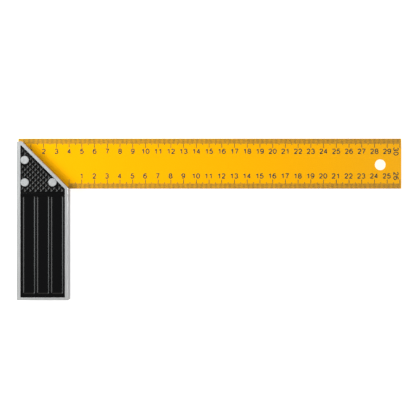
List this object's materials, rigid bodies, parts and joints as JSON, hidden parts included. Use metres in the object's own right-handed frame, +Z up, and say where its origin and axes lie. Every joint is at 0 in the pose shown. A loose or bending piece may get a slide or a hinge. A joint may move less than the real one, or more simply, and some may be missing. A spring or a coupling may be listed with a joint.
{
  "type": "try square",
  "caption": "L-shaped carpenter's square: a thin scaled steel blade with a hanging hole, riveted at a right angle into a thick mitred metal stock with gripped recesses.",
  "frame": {"origin": "middle of the whole outline in X and Y, on the stock's back face, which is the face it lies on", "axes": "+X along the blade away from the stock, +Y in the blade's plane from the stock's free end towards the blade's outer edge, +Z up from the back face to the front face"},
  "size_m": [0.3014, 0.1266, 0.013],
  "materials": {
    "blade": "yellow coated steel, satin",
    "stock": "die-cast, ground bright",
    "grip": "black moulded, satin",
    "rivet": "ground flush"
  },
  "bodies": {
    "root": {"blade": "blade", "stock": "stock", "front_grip": "grip", "back_grip": "grip", "rivet_heel": "rivet", "rivet_outer": "rivet", "rivet_inner": "rivet"}
  },
  "joints": []
}
